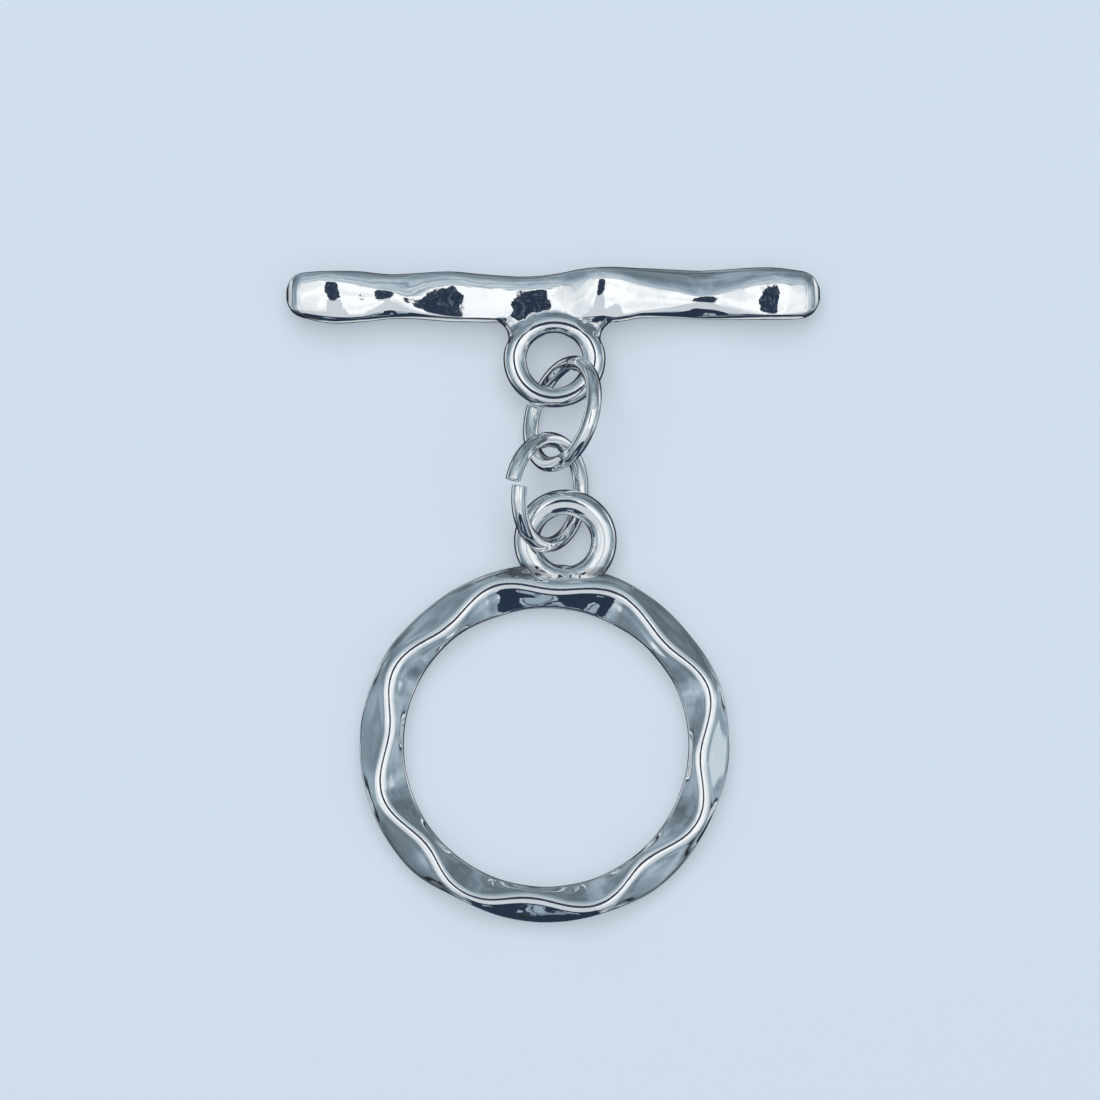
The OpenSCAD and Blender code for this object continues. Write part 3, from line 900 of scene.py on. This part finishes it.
def addRoom():
    world = bpy.data.worlds.new("studioRoom")
    bpy.context.scene.world = world
    world.use_nodes = True
    nodes, links = world.node_tree.nodes, world.node_tree.links
    light = nodes["Background"]
    light.inputs["Strength"].default_value = room["strength"]
    place = nodes.new("ShaderNodeTexCoord")
    direction = nodes.new("ShaderNodeSeparateXYZ")
    links.new(place.outputs["Generated"], direction.inputs["Vector"])
    x, y, z = direction.outputs["X"], direction.outputs["Y"], direction.outputs["Z"]

    def reckon(kind, *values):
        node = nodes.new("ShaderNodeMath")
        node.operation = kind
        for socket, value in zip(node.inputs, values):
            if isinstance(value, (int, float)):
                socket.default_value = value
            else:
                links.new(value, socket)
        return node.outputs[0]

    def fade(value, start, end, low=0.0, high=1.0):
        node = nodes.new("ShaderNodeMapRange")
        node.interpolation_type = "SMOOTHSTEP"
        links.new(value, node.inputs["Value"])
        node.inputs["From Min"].default_value = start
        node.inputs["From Max"].default_value = end
        node.inputs["To Min"].default_value = low
        node.inputs["To Max"].default_value = high
        return node.outputs["Result"]

    def stepsOf(value, start, end, rows):
        ramp = nodes.new("ShaderNodeValToRGB")
        while len(ramp.color_ramp.elements) < len(rows):
            ramp.color_ramp.elements.new(0.5)
        for element, (height, glow) in zip(ramp.color_ramp.elements, rows):
            element.position = (height - start) / (end - start)
            element.color = (glow, glow, glow, 1)
        share = reckon("MULTIPLY_ADD", value, 1 / (end - start), -start / (end - start))
        links.new(share, ramp.inputs["Fac"])
        return ramp.outputs["Color"]

    def mixed(share, first, second):
        node = nodes.new("ShaderNodeMix")
        node.data_type = "RGBA"
        links.new(share, node.inputs["Factor"])
        for socket, value in ((node.inputs["A"], first), (node.inputs["B"], second)):
            if isinstance(value, tuple):
                socket.default_value = (*value, 1)
            else:
                links.new(value, socket)
        return node.outputs["Result"]

    def blotches(name):
        node = nodes.new("ShaderNodeTexNoise")
        for socket, value in zip(("Scale", "Detail", "Roughness"), room["blotches"][name]):
            node.inputs[socket].default_value = value
        links.new(place.outputs["Generated"], node.inputs["Vector"])
        return node.outputs

    def split(color):
        node = nodes.new("ShaderNodeSeparateColor")
        links.new(color, node.inputs["Color"])
        return node.outputs

    def together(*shares):
        result = shares[0]
        for share in shares[1:]:
            result = reckon("MULTIPLY", result, share)
        return result

    # the light panel overhead ends just north of the camera
    panelEnd = room["panelEnd"]
    overNorth = together(fade(y, *panelEnd["north"]), fade(z, *panelEnd["height"]))
    toNorth = together(fade(y, *panelEnd["northSide"]), fade(z, *reversed(panelEnd["height"])))
    northern = reckon("ADD", overNorth, toNorth)
    glow = mixed(northern, stepsOf(z, -1, 1, room["bright"]), stepsOf(z, -1, 1, room["north"]))
    # the table's pale surface goes on to the east and west
    table = room["table"]
    aside = reckon("SUBTRACT", reckon("ABSOLUTE", x), reckon("ABSOLUTE", y))
    aside = together(fade(aside, *table["aside"]), fade(z, *table["far"]), fade(z, *table["near"]))
    glow = mixed(aside, glow, table["glow"])
    # furniture and walls stand round the table, with soft blotches on them
    walls = stepsOf(reckon("DEGREES", reckon("ARCTAN2", y, x)), -180, 180, room["round"])
    lumps = together(walls, fade(blotches("walls")["Fac"], *room["wallBlotches"]))
    uneven = fade(blotches("panel")["Fac"], *room["panelBlotches"])
    low = fade(z, *room["wallsEnd"], 1.0, 0.0)
    level = reckon("ADD", together(lumps, low), together(uneven, reckon("SUBTRACT", 1.0, low)))
    shaded = nodes.new("ShaderNodeVectorMath")
    shaded.operation = "SCALE"
    links.new(glow, shaded.inputs[0])
    links.new(level, shaded.inputs["Scale"])
    tinted = nodes.new("ShaderNodeVectorMath")
    tinted.operation = "MULTIPLY"
    links.new(shaded.outputs[0], tinted.inputs[0])
    # what is less bright is bluer
    walled = mixed(fade(z, *room["horizon"]), room["floorTint"], room["lowTint"])
    brightness = nodes.new("ShaderNodeSeparateXYZ")
    links.new(shaded.outputs[0], brightness.inputs["Vector"])
    white = fade(brightness.outputs["X"], *room["whitening"])
    links.new(mixed(white, walled, room["highTint"]), tinted.inputs[1])

    doorway = room["doorway"]
    opening = together(fade(reckon("ABSOLUTE", y), *doorway["side"]), fade(z, *doorway["foot"]))
    opening = together(opening, together(fade(x, *doorway["east"]), fade(z, *doorway["head"])))
    surroundings = mixed(opening, tinted.outputs[0], doorway["glow"])
    # pale cards hang south of the camera
    cards = 0.0
    sideEdge, endEdge = room["cardEdge"]
    for halfWidth, start, end in room["cards"]:
        card = together(fade(y, start + endEdge, start - endEdge), fade(y, end - endEdge, end + endEdge))
        card = together(card, fade(reckon("ABSOLUTE", x), halfWidth + sideEdge, halfWidth))
        cards = reckon("MAXIMUM", cards, card)
    surroundings = mixed(cards, surroundings, room["cardGlow"])

    # the camera's own dark shape overhead, with a ragged edge
    shape = room["camera"]
    stray = split(blotches("camera")["Color"])
    sideways = reckon("ADD", x, shape["shiftAcross"])
    sideways = reckon("MULTIPLY_ADD", stray["Red"], shape["raggedWidth"], sideways)
    lengthways = reckon("ADD", y, shape["shiftAlong"])
    lengthways = reckon("MULTIPLY_ADD", stray["Green"], shape["raggedLength"], lengthways)
    width = reckon("POWER", reckon("ABSOLUTE", reckon("DIVIDE", sideways, shape["halfWidth"])),
                   shape["squareness"])
    length = reckon("POWER", reckon("ABSOLUTE", reckon("DIVIDE", lengthways, shape["halfLength"])),
                    shape["squareness"])
    overhead = fade(reckon("ADD", width, length), *shape["edge"])
    # a dark screen stands to the south, with wandering edges and light gaps
    screen = room["screen"]
    wander = split(blotches("screen")["Color"])
    wide, high = screen["wanderAside"], screen["wanderUp"]
    side = reckon("DIVIDE", x, reckon("MULTIPLY", y, -1.0))
    side = reckon("ADD", side, reckon("MULTIPLY_ADD", wander["Red"], wide, -wide / 2))
    rise = reckon("ADD", z, reckon("MULTIPLY_ADD", wander["Green"], high, -high / 2))
    fromMiddle = reckon("ABSOLUTE", reckon("ADD", side, screen["west"]))
    dark = together(fade(fromMiddle, *screen["edge"]), fade(y, *screen["south"]))
    dark = together(dark, fade(rise, *screen["foot"]))

    def between(value, start, end):
        half, edge = (end - start) / 2, room["gapEdge"]
        return fade(reckon("ABSOLUTE", reckon("ADD", value, -(start + end) / 2)), half + edge, half - edge)

    for left, right, lower, upper in room["lightGaps"]:
        gap = together(between(side, left, right), between(rise, lower, upper))
        dark = reckon("SUBTRACT", dark, together(dark, gap))
    nearEdge = together(fade(y, *room["nearEdge"]["south"]), fade(z, *room["nearEdge"]["below"]))
    dark = reckon("MAXIMUM", overhead, reckon("MAXIMUM", dark, nearEdge))
    # the camera has lighter parts, the screen has none
    lighter = together(fade(blotches("specks")["Fac"], *room["cameraSpecks"]), overhead)
    dim = mixed(lighter, room["darkest"], room["lessDark"])
    links.new(mixed(dark, surroundings, dim), light.inputs["Color"])

    # the lamp that throws the soft shadows; the metal mirrors the room, not the lamp
    lamp = room["lamp"]
    lampData = bpy.data.lights.new("softLamp", "AREA")
    lampData.size = lamp["size"] * mm
    lampData.energy = lamp["power"]
    softLamp = bpy.data.objects.new("softLamp", lampData)
    softLamp.location = Vector(lamp["place"]) * mm
    softLamp.rotation_euler = Vector(lamp["place"]).to_track_quat("Z", "Y").to_euler()
    softLamp.visible_glossy = False
    bpy.context.collection.objects.link(softLamp)


addRoom()
bpy.context.scene.view_settings.view_transform = "Standard"
print("floor and light set")
